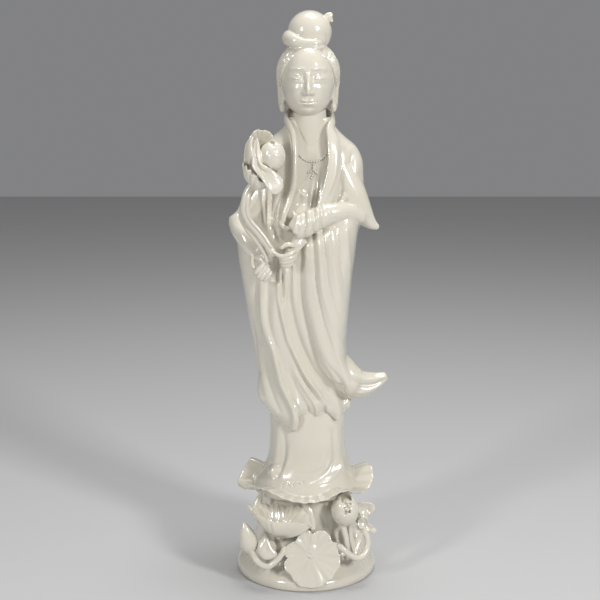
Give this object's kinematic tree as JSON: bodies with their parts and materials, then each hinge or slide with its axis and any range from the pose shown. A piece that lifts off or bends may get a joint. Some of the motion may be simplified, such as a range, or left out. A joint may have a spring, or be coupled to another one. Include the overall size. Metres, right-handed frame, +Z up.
{
  "type": "blanc de chine figure",
  "caption": "Standing robed woman in glossy white porcelain, holding a lotus spray, on a lotus-leaf plate over a round pedestal with applied leaves and buds.",
  "frame": {"origin": "centre of the flat underside of the round base", "axes": "+Z up along the figure, -Y out of its front, +X to the viewer's right"},
  "size_m": [0.1347, 0.1247, 0.48],
  "materials": {
    "glaze": "clear glossy glaze over ivory white porcelain"
  },
  "bodies": {
    "root": {"figure": "glaze"}
  },
  "joints": []
}
